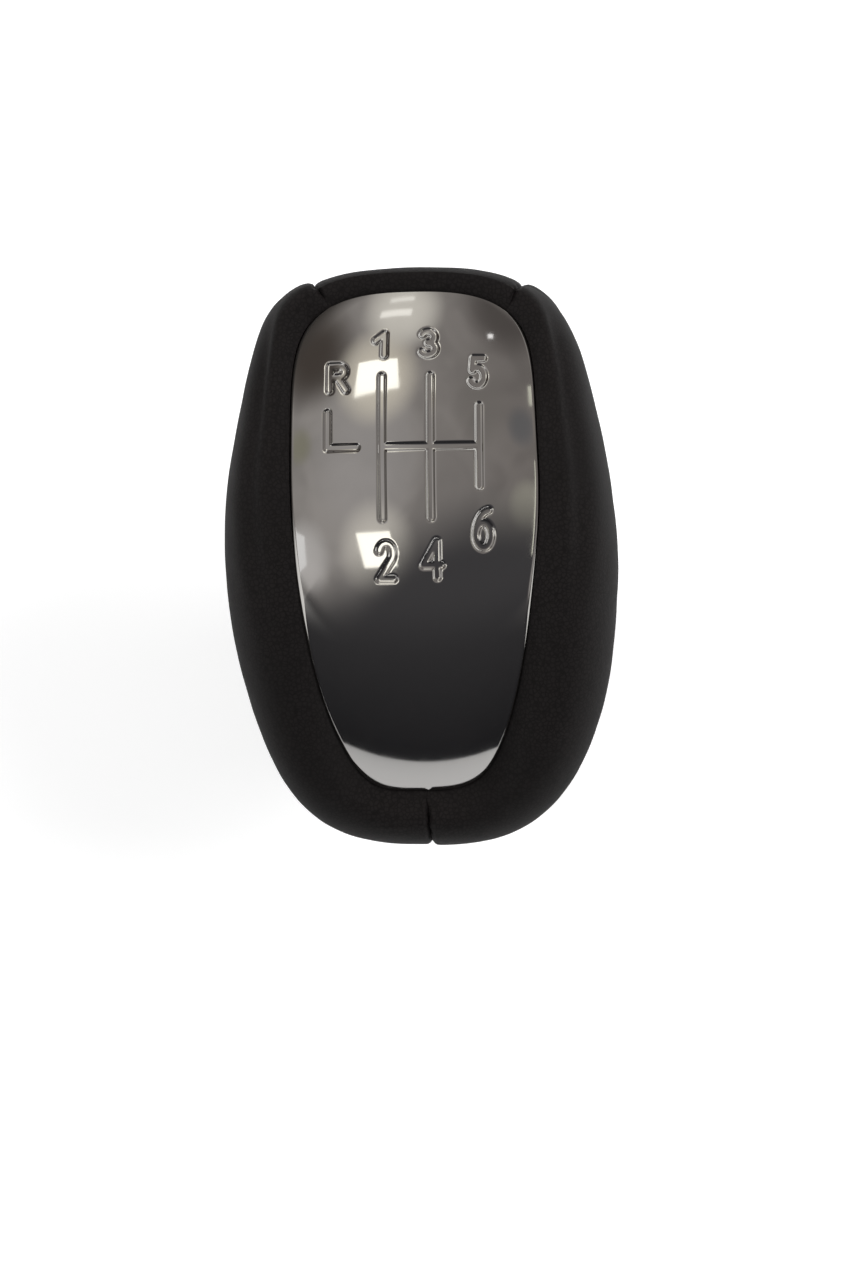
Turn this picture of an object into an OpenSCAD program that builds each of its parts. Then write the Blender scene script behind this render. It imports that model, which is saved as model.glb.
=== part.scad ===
// Six-speed gear shift knob with a reverse lift collar.
// The lever axis is Z, the mouth of the lever bore is the origin, and +Y is the front of the car.
// The head has its own frame, leaning back by head_tilt: u runs forwards along it and w is its height.

/* [Head] */
// Width of the head over its leather
head_w = 54; // [50:0.5:58]
// Length of the head ahead of its widest line
head_front = 40.5; // [39.5:0.25:43]
// Length of the head behind its widest line
head_rear = 39.5; // [38:0.5:42]
// Height of the head's widest line above the base
head_z = 68; // [66:0.5:72]
// Backward lean of the head in degrees
head_tilt = 15; // [12:0.5:17]
// Drop from the plate's edge to the widest line at the sides
side_drop = 13; // [11:0.5:15]
// Drop from the plate's edge to the widest line at the front
front_drop = 6; // [5:0.5:8]
// Drop from the plate's edge to the widest line at the rear
rear_drop = 9; // [7:0.5:11]

/* [Leather] */
// Thickness of the leather with its backing
leather_t = 1.4; // [1:0.1:1.6]
// Height of the rolled bead above the plate's edge
bead_h = 0.9; // [0.5:0.1:1.3]
// Width from the bead's inner wall to its crest
bead_w = 2.2; // [1.8:0.1:2.6]
// How far the leather is tucked down beside the plate
tuck_depth = 3.2; // [2.6:0.1:3.6]
// Depth of the groove where two panels are sewn together
seam_depth = 0.9; // [0.4:0.1:1.1]
// Width that the seam groove pulls in on each side
seam_w = 2.2; // [1.6:0.1:3]
// Angle of the two front seams from straight ahead in degrees
seam_angle = 23.5; // [20:0.5:27]

/* [Plate] */
// Width of the polished plate
plate_w = 32.8; // [31.6:0.2:34]
// Length of the plate ahead of its widest line
plate_front = 24.6; // [24:0.2:25.4]
// Length of the plate behind its widest line
plate_rear = 43.6; // [43:0.2:44.6]
// Distance from the head's widest line forwards to the plate's widest line
plate_shift = 12; // [11.7:0.1:12.3]
// Thickness of the plate
plate_t = 1.4; // [1:0.1:1.8]
// Lengthwise radius of the plate's dome
dome_long_r = 55; // [52:0.5:60]
// Crosswise radius of the plate's dome
dome_cross_r = 42; // [38:0.5:48]
// Height of the dome's crown above the widest line
dome_h = 17; // [15:0.5:19]
// Distance from the head's widest line forwards to the crown
dome_shift = 7; // [6:0.25:8]
// Gap between the plate's edge and the carrier's rim
plate_gap = 0.2; // [0.15:0.05:0.3]

/* [Shift pattern] */
// Radius of the tool that cuts the gate's grooves
groove_r = 0.6; // [0.45:0.05:0.7]
// Depth of the grooves
groove_depth = 0.4; // [0.2:0.05:0.5]
// Distance between the lanes of the gate
lane_pitch = 6.4; // [5.9:0.05:6.6]
// Distance from the head's widest line to the cross lane
gate_shift = 15.1; // [14:0.1:16]
// Half of the length of the lanes for first to fourth gear
lane_half = 9.4; // [8.6:0.1:10]
// Half of the length of the lane for fifth and sixth gear
short_lane_half = 5.3; // [4.8:0.1:6]

/* [Carrier] */
// Thickness of the carrier's floor
carrier_t = 2.4; // [2:0.1:2.8]
// Thickness of the carrier's rim
carrier_rim = 0.6; // [0.4:0.1:0.8]
// Radius of the plate's pins
pin_r = 1.5; // [1.2:0.1:1.7]
// Radius of the push nuts
push_nut_r = 3.2; // [2.8:0.1:3.5]
// Thickness of the push nuts
push_nut_t = 0.5; // [0.4:0.1:0.8]
// Shank radius of the carrier's screws
carrier_screw_r = 1.25; // [1:0.05:1.5]
// Length of the carrier's screws below their heads
carrier_screw_l = 7; // [6:0.5:8]

/* [Lever] */
// Radius of the gear lever's end
lever_r = 6; // [5.5:0.1:6.4]
// Depth of the lever bore
bore_depth = 42; // [38:1:43]
// Wall of the plastic bush on the lever
bush_wall = 1.5; // [1.2:0.1:1.8]
// Outer radius of the steel sleeve
sleeve_r = 10; // [9.6:0.1:10.4]
// Radius of the sleeve's flange
flange_r = 13.5; // [12.5:0.1:14]
// Thickness of the sleeve's flange
flange_t = 4; // [3:0.5:4.5]
// Radius of the cross pin
cross_pin_r = 2; // [1.5:0.1:2.5]
// How far the cross pin reaches past the sleeve's flange
cross_pin_over = 0.75; // [0.5:0.25:2]

/* [Neck] */
// Outer radius of the leather at the neck
neck_r = 20; // [19.5:0.1:21]
// Height of the leather's lower edge above the base
neck_z = 28; // [27.4:0.2:29]
// Height of the neck ring that shows
neck_ring_h = 3; // [2.5:0.1:3.4]
// Radius of the well that the collar rises into
well_r = 16; // [15.6:0.1:16.2]
// Height of the well's ceiling above the base
well_z = 41; // [40.5:0.1:42]
// Length of the spigot that holds the neck ring in the core
spigot_h = 5; // [4:0.5:6]

/* [Lift collar] */
// Travel of the collar
collar_travel = 12; // [10:0.5:12.4]
// Wall of the collar's sleeve
collar_wall = 2; // [1.6:0.1:2.4]
// Height of the collar
collar_h = 27; // [25.5:0.25:27.5]
// Radius of the finger flange
finger_r = 21; // [20:0.5:23]
// Height of the finger flange's top above the base
finger_z = 12; // [11:0.25:12.4]
// Thickness of the finger flange
finger_t = 4; // [3:0.5:5]
// Clearance of sliding fits on the radius
slide_gap = 0.05; // [0.03:0.01:0.09]
// Clearance between the collar and the well
well_gap = 0.4; // [0.3:0.05:0.5]
// Width of the two guide keys
key_w = 4; // [3:0.5:5]

/* [Spring] */
// Wire diameter of the return spring
wire_d = 1.2; // [0.8:0.1:1.3]
// Number of turns of the return spring
spring_turns = 8; // [6:1:9]

/* [Hidden] */
$fn = 64;

black_plastic = [0.07, 0.07, 0.075];
black_leather = [0.09, 0.085, 0.085];
bright_chrome = [0.78, 0.78, 0.79];
grey_nylon = [0.2, 0.2, 0.21];
bare_steel = [0.6, 0.6, 0.62];
natural_pom = [0.9, 0.9, 0.86];
black_rubber = [0.05, 0.05, 0.05];

// Clearance that keeps neighbouring faceted or curved faces apart
ease = 0.25;
// Small overlap that makes cuts run through a face
over = 0.5;

// Radii and heights that the neck, the collar and the spring share
collar_r = well_r - well_gap;
collar_bore = collar_r - collar_wall;
ring_bore = collar_r + well_gap;
spigot_r = well_r + 1.2;
spring_r = sleeve_r + 1.8;
cross_pin_half = flange_r + cross_pin_over;

// Centre of the rays along which the head's curves are sampled
ray_u = 5;
// Exponents that square up the head's and the plate's outlines, ahead of and behind their widest lines
head_front_n = [4.1, 1.8];
head_rear_n = [2.9, 2];
plate_front_n = [2.7, 5.5];
plate_rear_n = [3.1, 1.8];

// Outlines

// How far a point lies outside a two-part superellipse: negative inside, positive outside
function outside(x, u, half_w, front, rear, n_front, n_rear) =
    let(
        b = u >= 0 ? front : rear,
        n = u >= 0 ? n_front : n_rear
    )
    pow(abs(x) / half_w, n[0]) + pow(abs(u) / b, n[1]) - 1;

// Distance from the ray centre to an outline, found by halving
function reach(phi, shift, half_w, front, rear, n_front, n_rear, lo, hi, left) =
    left == 0 ? (lo + hi) / 2
    : let(
        mid = (lo + hi) / 2,
        out = outside(mid * cos(phi), ray_u - shift + mid * sin(phi), half_w, front, rear, n_front, n_rear)
    )
    out > 0
        ? reach(phi, shift, half_w, front, rear, n_front, n_rear, lo, mid, left - 1)
        : reach(phi, shift, half_w, front, rear, n_front, n_rear, mid, hi, left - 1);

reach_max = head_w;
reach_steps = 26;
function head_reach(phi) =
    reach(phi, 0, head_w / 2, head_front, head_rear, head_front_n, head_rear_n, 0, reach_max, reach_steps);
function plate_reach(phi, grow = 0) =
    grow + reach(phi, plate_shift, plate_w / 2, plate_front, plate_rear, plate_front_n, plate_rear_n,
        0, reach_max, reach_steps);

// Point of a ray, as x and u
function on_ray(phi, r) = [r * cos(phi), ray_u + r * sin(phi)];

// Height of the dome over a point of the head frame
function dome_w(x, u, down = 0) =
    let(
        cross_r = dome_cross_r - down,
        ring = dome_long_r - dome_cross_r + sqrt(cross_r * cross_r - x * x)
    )
    dome_h - dome_long_r + sqrt(ring * ring - pow(u - dome_shift, 2));
function dome_at(p, down = 0) = dome_w(p[0], p[1], down);

// Head frame to part frame
function to_part(x, u, w) = [
    x,
    u * cos(head_tilt) - w * sin(head_tilt),
    head_z + u * sin(head_tilt) + w * cos(head_tilt)
];
module in_head() {
    translate([0, 0, head_z]) rotate([head_tilt, 0, 0]) children();
}

// Skin of the head

leather_gap = plate_gap + carrier_rim + 0.15;
// The leather is pared thin where its edge has little room to turn over
pared_share = 0.33;
bead_steps = 4;
shoulder_steps = 6;
lower_steps = 8;
upper_count = 2 + bead_steps + shoulder_steps;
bead_foot = 1.4;

function bezier(a, b, c, d, t) =
    a * pow(1 - t, 3) + b * 3 * t * pow(1 - t, 2) + c * 3 * t * t * (1 - t) + d * pow(t, 3);

// Drop of the widest line below the plate's edge, blended round the head
function drop_at(phi) =
    let(along = pow(sin(phi), 4))
    side_drop * (1 - along) + (sin(phi) > 0 ? front_drop : rear_drop) * along;

// Width between the plate's surround and the head's outline, and what it leaves for leather and clearance
function room_at(phi) = head_reach(phi) - plate_reach(phi, leather_gap);
function pared_t(phi) = min(leather_t, pared_share * room_at(phi));
function pared_ease(phi) = min(ease, 0.04 * room_at(phi));

// Upper meridian: the tucked wall beside the plate, the bead and the shoulder, at a depth below the skin
function upper(phi, depth) =
    let(
        wall_r = plate_reach(phi, leather_gap),
        wide_r = head_reach(phi),
        edge_w = dome_at(on_ray(phi, plate_reach(phi))),
        room = wide_r - wall_r,
        crest = min(bead_w, 0.4 * room),
        wide_w = edge_w - drop_at(phi),
        foot = [wall_r + depth, edge_w - bead_foot],
        top = [wall_r + crest, edge_w + bead_h - depth],
        bead = [for (k = [0:bead_steps])
            let(a = 90 * k / bead_steps)
            [foot[0] + (top[0] - foot[0]) * (1 - cos(a)), foot[1] + (top[1] - foot[1]) * sin(a)]],
        edge = [wide_r - depth, wide_w],
        shoulder = [for (k = [1:shoulder_steps])
            bezier(top, top + [0.5 * (edge[0] - top[0]), 0],
                edge + [0, 0.62 * (top[1] - wide_w)], edge, k / shoulder_steps)],
        profile = concat([[foot[0], edge_w - tuck_depth]], bead, shoulder)
    )
    [for (p = profile) to_part(p[0] * cos(phi), ray_u + p[0] * sin(phi), p[1])];

// Lower meridian: from the widest line down to the neck
function lower(phi) =
    let(
        wide = upper(phi, 0)[upper_count - 1],
        down = [0, sin(head_tilt), -cos(head_tilt)],
        neck = [neck_r * cos(phi), neck_r * sin(phi), neck_z],
        span = norm(wide - neck)
    )
    [for (k = [1:lower_steps])
        bezier(wide, wide + 0.42 * span * down, neck + [0, 0, 0.3 * span], neck, k / lower_steps)];

function meridian(phi) = concat(upper(phi, 0), lower(phi));

// Outward normals of the lower meridian, from the points round each one
function unit(v) = v / norm(v);
function lower_normals(phi) =
    let(
        step = 0.5,
        here = meridian(phi),
        before = meridian(phi - step),
        after = meridian(phi + step),
        last = len(here) - 1
    )
    [for (j = [upper_count:last])
        unit(cross(here[min(j + 1, last)] - here[j - 1], after[j] - before[j]))];

// Meridian at a depth below the skin, which grows from its pared value to its full value under the widest line
function deep_meridian(phi, pared, full) =
    let(here = lower(phi), normals = lower_normals(phi))
    concat(
        upper(phi, pared),
        [for (k = [0:lower_steps - 1])
            let(t = min(1, (k + 1) / 4))
            here[k] - normals[k] * (pared + (full - pared) * t)]
    );

// Depth of the seam groove at a distance along the skin from the nearest seam
function seam_dip(away) = away >= seam_w ? 0 : seam_depth * pow(1 - away / seam_w, 2);

// Samples from one angle to another, closer together near both ends
crowding = 0.85;
function spread(a, b, count) =
    [for (i = [0:count]) let(t = i / count) a + (b - a) * (t - crowding * sin(360 * t) / (2 * PI))];

// A closed solid from two grids of equal size, the outer one and the inner one
function strip(a, b, c, d) = [[c, b, a], [d, c, a]];
function flat(lists) = [for (l = lists) for (e = l) e];
module sheet_solid(outer, inner) {
    rows = len(outer);
    cols = len(outer[0]);
    half = rows * cols;
    function at(i, j) = i * cols + j;
    faces = flat(concat(
        [for (i = [0:rows - 2]) for (j = [0:cols - 2])
            strip(at(i, j), at(i, j + 1), at(i + 1, j + 1), at(i + 1, j))],
        [for (i = [0:rows - 2]) for (j = [0:cols - 2])
            strip(half + at(i, j), half + at(i + 1, j), half + at(i + 1, j + 1), half + at(i, j + 1))],
        [for (i = [0:rows - 2])
            strip(at(i, 0), at(i + 1, 0), half + at(i + 1, 0), half + at(i, 0))],
        [for (i = [0:rows - 2])
            strip(at(i + 1, cols - 1), at(i, cols - 1), half + at(i, cols - 1), half + at(i + 1, cols - 1))],
        [for (j = [0:cols - 2])
            strip(at(0, j + 1), at(0, j), half + at(0, j), half + at(0, j + 1))],
        [for (j = [0:cols - 2])
            strip(at(rows - 1, j), at(rows - 1, j + 1), half + at(rows - 1, j + 1), half + at(rows - 1, j))]
    ));
    polyhedron(concat(flat(outer), flat(inner)), faces, convexity = 6);
}

// One leather panel between two seam angles
module leather_panel(from, to, count) {
    angles = spread(from, to, count);
    skins = [for (phi = angles) meridian(phi)];
    inner = [for (phi = angles) deep_meridian(phi, pared_t(phi), leather_t)];
    last = len(skins[0]) - 1;
    function away(i, j) = min(norm(skins[i][j] - skins[0][j]), norm(skins[i][j] - skins[count][j]));
    // The groove pulls the skin towards the inner face
    outer = [for (i = [0:count]) [for (j = [0:last])
        skins[i][j] + (inner[i][j] - skins[i][j]) * (j < 2 ? 0 : seam_dip(away(i, j)) / leather_t)]];
    color(black_leather) sheet_solid(outer, inner);
}

module leather_front() {
    leather_panel(90 - seam_angle, 90 + seam_angle, 12);
}
module leather_left() {
    leather_panel(90 + seam_angle, 270, 32);
}
module leather_right() {
    leather_panel(-90, 90 - seam_angle, 32);
}

// Dome, shared by the plate and its carrier

// Solid under the dome, lowered by a distance along its normals
module dome(down = 0) {
    cross_r = dome_cross_r - down;
    translate([0, dome_shift, dome_h - dome_long_r])
        rotate([0, 90, 0])
            rotate_extrude()
                intersection() {
                    translate([dome_long_r - dome_cross_r, 0]) circle(r = cross_r);
                    translate([0, -dome_cross_r]) square([2 * dome_long_r, 2 * dome_cross_r]);
                }
}
outline_step = 5;
dome_floor = -30;
module plate_prism(grow = 0) {
    translate([0, 0, dome_floor])
        linear_extrude(height = 2 * dome_h - dome_floor)
            polygon([for (phi = [0:outline_step:359]) on_ray(phi, plate_reach(phi, grow))]);
}
module dome_shell(top, bottom, grow = 0) {
    intersection() {
        plate_prism(grow);
        difference() {
            dome(top);
            dome(bottom);
        }
    }
}

// Shift pattern

first_lane_x = -3.8;
reverse_lane_x = -11.1;
reverse_lane_l = 4.7;
reverse_foot_l = 3.9;
// One lane of the gate as a slot with round ends, from its start to its end
module lane(from, to) {
    span = to - from;
    long = norm(span);
    translate(from) rotate(atan2(span[1], span[0])) {
        translate([0, -groove_r]) square([long, 2 * groove_r]);
        circle(r = groove_r);
        translate([long, 0]) circle(r = groove_r);
    }
}
module long_lane(x, half) {
    lane([x, gate_shift - half], [x, gate_shift + half]);
}
module gate_lanes() {
    third_lane_x = first_lane_x + lane_pitch;
    fifth_lane_x = third_lane_x + lane_pitch;
    long_lane(first_lane_x, lane_half);
    long_lane(third_lane_x, lane_half);
    long_lane(fifth_lane_x, short_lane_half);
    lane([first_lane_x, gate_shift], [fifth_lane_x, gate_shift]);
}
module reverse_lane() {
    corner = [reverse_lane_x, gate_shift];
    lane(corner, corner + [0, reverse_lane_l]);
    lane(corner, corner + [reverse_foot_l, 0]);
}
// Grooves of an even depth below the dome
module gate_grooves() {
    difference() {
        linear_extrude(height = 2 * dome_h) {
            gate_lanes();
            reverse_lane();
        }
        dome(groove_depth);
    }
}

// Pins of the plate and screws of the carrier, as x and u
plate_pins = [[0, 31], [10, 8], [-10, 8], [0, -23]];
carrier_holes = [[9, 24], [-9, 24], [7.5, -14], [-7.5, -14]];
carrier_down = plate_t + ease;
bed_down = carrier_down + carrier_t + 0.15;
// Lowest height of the lowered dome within a radius of a point
function low_w(p, r, down) =
    min([for (a = [0:30:330]) dome_w(p[0] + r * cos(a), p[1] + r * sin(a), down)]);
// Height of the flat that a push nut bears on
nut_pad_r = push_nut_r + 0.4;
function nut_w(p) = low_w(p, nut_pad_r, carrier_down + carrier_t) - 0.1;
pin_tail = 2;
// Height of the flat that a carrier screw's head bears on, in a boss below the carrier's floor
screw_head_r = 2 * carrier_screw_r;
screw_head_t = 1.2;
screw_boss_r = screw_head_r + 1;
screw_boss_t = 1.2;
function head_seat_w(p) = low_w(p, screw_head_r, carrier_down) - screw_head_t - ease;

module chrome_plate() {
    color(bright_chrome) in_head() {
        difference() {
            dome_shell(0, plate_t);
            gate_grooves();
        }
        for (p = plate_pins)
            intersection() {
                translate([p[0], p[1], nut_w(p) - push_nut_t - pin_tail])
                    cylinder(r = pin_r, h = 3 * dome_h);
                dome(plate_t);
            }
    }
}

module plate_push_nuts() {
    color(bare_steel) in_head()
        for (p = plate_pins)
            translate([p[0], p[1], nut_w(p) - push_nut_t])
                difference() {
                    cylinder(r = push_nut_r, h = push_nut_t);
                    translate([0, 0, -over]) cylinder(r = pin_r, h = push_nut_t + 2 * over);
                }
}

module plate_carrier() {
    color(black_plastic) in_head()
        difference() {
            union() {
                dome_shell(carrier_down, carrier_down + carrier_t, plate_gap + carrier_rim);
                difference() {
                    dome_shell(0.9, carrier_down + carrier_t, plate_gap + carrier_rim);
                    plate_prism(plate_gap);
                }
                intersection() {
                    union() {
                        for (p = plate_pins)
                            translate([p[0], p[1], nut_w(p)]) cylinder(r = nut_pad_r, h = 2 * dome_h);
                        for (p = carrier_holes)
                            translate([p[0], p[1], head_seat_w(p) - screw_boss_t])
                                cylinder(r = screw_boss_r, h = 2 * dome_h);
                    }
                    dome(carrier_down);
                }
            }
            for (p = plate_pins)
                translate([p[0], p[1], dome_floor]) cylinder(r = pin_r + slide_gap, h = 3 * dome_h);
            for (p = carrier_holes) {
                translate([p[0], p[1], dome_floor]) cylinder(r = carrier_screw_r + ease, h = 3 * dome_h);
                translate([p[0], p[1], head_seat_w(p)]) cylinder(r = screw_head_r + ease, h = dome_h);
            }
        }
}

module carrier_screws() {
    color(bare_steel) in_head()
        for (p = carrier_holes)
            translate([p[0], p[1], head_seat_w(p)]) {
                difference() {
                    cylinder(r = screw_head_r, h = screw_head_t);
                    translate([0, 0, screw_head_t / 2]) cylinder(r = carrier_screw_r, h = screw_head_t, $fn = 6);
                }
                translate([0, 0, -carrier_screw_l]) cylinder(r = carrier_screw_r, h = carrier_screw_l);
            }
}

// Core

core_count = 72;
bed_rings = 4;
// Points of the deep meridian that the core keeps: the wall, the crest, the shoulder and all below
core_keeps = concat([1, 1 + bead_steps, 3 + bead_steps, 5 + bead_steps],
    [for (j = [upper_count - 1:upper_count + lower_steps - 1]) j]);

// Both halves as one closed body, out to the leather, with no corner on the parting plane
module core_body() {
    angles = [for (i = [0:core_count - 1]) 360 * (i + 0.5) / core_count];
    skins = [for (phi = angles)
        let(m = deep_meridian(phi, pared_t(phi) + pared_ease(phi), leather_t + ease))
        [for (j = core_keeps) [m[j][0], m[j][1], j == len(m) - 1 ? neck_z : m[j][2]]]];
    walls = [for (phi = angles)
        let(r = plate_reach(phi, leather_gap + pared_t(phi) + pared_ease(phi)))
        [for (k = [1:bed_rings])
            let(p = on_ray(phi, r * k / bed_rings))
            to_part(p[0], p[1], dome_at(p, bed_down))]];
    middle_x = 0.6;
    middle = to_part(middle_x, ray_u, dome_w(middle_x, ray_u, bed_down));
    rows = [for (i = [0:core_count - 1]) concat(walls[i], skins[i])];
    cols = len(rows[0]);
    points = concat(flat(rows), [middle]);
    function at(i, j) = (i % core_count) * cols + j;
    centre = len(points) - 1;
    faces = concat(
        flat([for (i = [0:core_count - 1]) for (j = [0:cols - 2])
            strip(at(i, j), at(i, j + 1), at(i + 1, j + 1), at(i + 1, j))]),
        [for (i = [0:core_count - 1]) [centre, at(i + 1, 0), at(i, 0)]],
        [[for (i = [0:core_count - 1]) at(i, cols - 1)]]
    );
    polyhedron(points, faces, convexity = 8);
}

// The half of the core on one side of the parting plane
module core_half(side) {
    reach = 2 * head_w;
    color(grey_nylon) difference() {
        intersection() {
            core_body();
            translate([side > 0 ? 0 : -reach, -reach, 0]) cube([reach, 2 * reach, 2 * reach]);
        }
        core_features();
    }
}

sleeve_top = bore_depth + 16;
flange_z = bore_depth + 4;
cross_pin_z = bore_depth + 11;
core_screw_r = 1.5;
core_screw_head_r = 2.8;
core_screw_head_t = 2;
core_screw_seat = 9;
core_screw_tip = -11;
// Screws that join the halves, as y and z
core_screw_at = [[0, head_z + 2], [19, flange_z + 1.5], [-18, flange_z - 1.5]];
// Coring in the halves, as outlines in side view, forwards and up from the head's widest line
front_core = [[15, -13], [25, -11], [29.5, -2], [28, 4], [15, 4]];
rear_core = [[-15, -18], [-27, -18], [-29, -16], [-27, -14], [-22, -11], [-15, -7]];
core_depth = 12;

// Stepped bore up the middle: the neck ring's seat, the well and the sleeve's seat with its flange
module core_bore() {
    seat_r = spigot_r + slide_gap;
    bore_r = sleeve_r + slide_gap;
    trap_r = flange_r + slide_gap;
    seat_z = neck_z + spigot_h + ease;
    rotate_extrude() polygon([
        [0, neck_z - over], [seat_r, neck_z - over], [seat_r, seat_z], [well_r, seat_z],
        [well_r, well_z], [bore_r, well_z], [bore_r, flange_z], [trap_r, flange_z],
        [trap_r, flange_z + flange_t], [bore_r, flange_z + flange_t],
        [bore_r, sleeve_top + slide_gap], [0, sleeve_top + slide_gap]
    ]);
}

module cross_pin_bore() {
    half = cross_pin_half + over;
    translate([-half, 0, cross_pin_z]) rotate([0, 90, 0])
        cylinder(r = cross_pin_r + slide_gap, h = 2 * half);
}

module core_features() {
    core_bore();
    cross_pin_bore();
    for (s = core_screw_at)
        translate([core_screw_tip, s[0], s[1]]) rotate([0, 90, 0]) {
            cylinder(r = core_screw_r + slide_gap, h = core_screw_seat - core_screw_tip);
            translate([0, 0, core_screw_seat - core_screw_tip])
                cylinder(r = core_screw_head_r + ease, h = head_w);
        }
    for (outline = [front_core, rear_core])
        translate([0, 0, head_z]) rotate([90, 0, 90])
            linear_extrude(height = 2 * core_depth, center = true) polygon(outline);
    in_head() {
        for (p = plate_pins)
            translate([p[0], p[1], nut_w(p) - push_nut_t - pin_tail - ease])
                cylinder(r = push_nut_r + 0.8, h = dome_h);
        for (p = carrier_holes) {
            translate([p[0], p[1], head_seat_w(p) - carrier_screw_l - ease])
                cylinder(r = carrier_screw_r + slide_gap, h = dome_h);
            translate([p[0], p[1], head_seat_w(p) - screw_boss_t - ease])
                cylinder(r = screw_boss_r + ease, h = dome_h);
        }
    }
}

module core_right() {
    core_half(1);
}
module core_left() {
    core_half(-1);
}

module core_screws() {
    color(bare_steel)
        for (s = core_screw_at)
            translate([core_screw_tip, s[0], s[1]]) rotate([0, 90, 0]) {
                cylinder(r = core_screw_r, h = core_screw_seat - core_screw_tip);
                translate([0, 0, core_screw_seat - core_screw_tip])
                    difference() {
                        cylinder(r = core_screw_head_r, h = core_screw_head_t);
                        translate([0, 0, core_screw_head_t / 2])
                            cylinder(r = core_screw_r, h = core_screw_head_t, $fn = 6);
                    }
            }
}

// Lever sleeve and what it carries

bush_r = lever_r + bush_wall;
clip_t = 1;
clip_z = 2.4;
clip_depth = 0.7;
clip_r = 12.2;
clip_gap_angle = 40;
buffer_t = 1.4;
buffer_r = 12.4;

module tube(outer, inner, h) {
    difference() {
        cylinder(r = outer, h = h);
        translate([0, 0, -over]) cylinder(r = inner, h = h + 2 * over);
    }
}

module lever_sleeve() {
    color(bare_steel)
        difference() {
            union() {
                cylinder(r = sleeve_r, h = sleeve_top);
                translate([0, 0, flange_z]) cylinder(r = flange_r, h = flange_t);
            }
            translate([0, 0, -over]) cylinder(r = bush_r, h = bore_depth + over);
            translate([0, 0, clip_z]) tube(sleeve_r + over, sleeve_r - clip_depth, clip_t);
            cross_pin_bore();
        }
}

// Plastic bush that grips the lever; its slit lets it close on the lever as the sleeve is pressed on
bush_slit = 1.2;
module lever_bush() {
    color(natural_pom)
        difference() {
            cylinder(r = bush_r, h = bore_depth);
            translate([0, 0, -over]) cylinder(r = lever_r, h = bore_depth + 2 * over);
            translate([-bush_slit / 2, 0, -over]) cube([bush_slit, bush_r + over, bore_depth - 8]);
        }
}

module cross_pin() {
    color(bare_steel)
        translate([-cross_pin_half, 0, cross_pin_z]) rotate([0, 90, 0])
            cylinder(r = cross_pin_r, h = 2 * cross_pin_half);
}

module collar_circlip() {
    color(bare_steel)
        translate([0, 0, clip_z])
            difference() {
                tube(clip_r, sleeve_r - clip_depth + slide_gap, clip_t);
                rotate([0, 0, -90 - clip_gap_angle / 2]) translate([0, 0, -over])
                    rotate_extrude(angle = clip_gap_angle) square([2 * clip_r, clip_t + 2 * over]);
            }
}

module buffer_ring() {
    color(black_rubber)
        translate([0, 0, clip_z + clip_t]) tube(buffer_r, sleeve_r + slide_gap, buffer_t);
}

// Neck ring and spring seat

key_reach = 1.6;
module neck_ring() {
    round_r = 1;
    color(black_plastic) {
        translate([0, 0, neck_z - neck_ring_h])
            rotate_extrude()
                difference() {
                    union() {
                        translate([ring_bore, 0]) square([neck_r - round_r - ring_bore, neck_ring_h]);
                        translate([ring_bore, round_r]) square([neck_r - ring_bore, neck_ring_h - round_r]);
                        translate([neck_r - round_r, round_r]) circle(r = round_r);
                        translate([ring_bore, neck_ring_h - over])
                            square([spigot_r - ring_bore, spigot_h + over]);
                    }
                }
        for (side = [0, 180])
            rotate([0, 0, side])
                translate([ring_bore - key_reach, -key_w / 2, neck_z - neck_ring_h])
                    cube([key_reach + 0.3, key_w, neck_ring_h]);
    }
}

seat_t = 1;
module spring_seat() {
    color(bare_steel)
        translate([0, 0, well_z - seat_t]) tube(spring_r + wire_d + 0.2, sleeve_r + ease, seat_t);
}

// Lift collar

web_z = clip_z + clip_t + buffer_t + 1;
web_t = 4;
web_top = web_z + web_t;
bush_out = sleeve_r + 1.4;
bush_flange_r = sleeve_r + 2.4;
gaiter_groove = 1;
skirt_r = 17.5;

// Profile of the collar: skirt with the gaiter's groove, finger flange and sleeve
module collar_profile() {
    groove_z = 2;
    lip_z = 4.6;
    lip_top = 6;
    translate([collar_bore, 0]) square([collar_wall, collar_h]);
    translate([collar_bore, 0]) square([skirt_r - gaiter_groove - collar_bore, lip_top]);
    translate([collar_bore, 0]) square([skirt_r - collar_bore, groove_z]);
    translate([collar_bore, lip_z]) square([skirt_r - collar_bore, lip_top - lip_z]);
    // Finger flange with a rounded rim and a hollow under it
    translate([0, finger_z - finger_t])
        difference() {
            union() {
                translate([collar_bore, 0]) square([finger_r - finger_t / 2 - collar_bore, finger_t]);
                translate([finger_r - finger_t / 2, finger_t / 2]) circle(r = finger_t / 2);
            }
            translate([(collar_r + finger_r) / 2, -finger_t * 0.45]) circle(r = finger_t * 0.6);
        }
    // Web that carries the bush and the spring
    translate([bush_out, web_z]) square([collar_bore + over - bush_out, web_t]);
}

module lift_collar() {
    slot_z = neck_z - neck_ring_h - collar_travel - 0.4;
    slot_w = key_w + 0.8;
    color(black_plastic)
        difference() {
            rotate_extrude() collar_profile();
            for (side = [0, 180])
                rotate([0, 0, side])
                    translate([collar_bore - over, -slot_w / 2, slot_z])
                        cube([collar_wall + 2 * over, slot_w, collar_h]);
            cable_pocket();
        }
}

// Pocket inside the skirt that takes the end of the lock-out cable, with its slot to the base
module cable_pocket() {
    slot_w = 1.4;
    pocket_w = 3.4;
    depth = 1.6;
    translate([-slot_w / 2, collar_bore - over, -over]) cube([slot_w, depth + over, 3]);
    translate([-pocket_w / 2, collar_bore - over, 2]) cube([pocket_w, depth + over, 2.2]);
}

module collar_bush() {
    color(natural_pom) {
        translate([0, 0, web_z]) tube(bush_out, sleeve_r + slide_gap, web_t);
        translate([0, 0, web_z - 1]) tube(bush_flange_r, sleeve_r + slide_gap, 1);
    }
}

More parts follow.
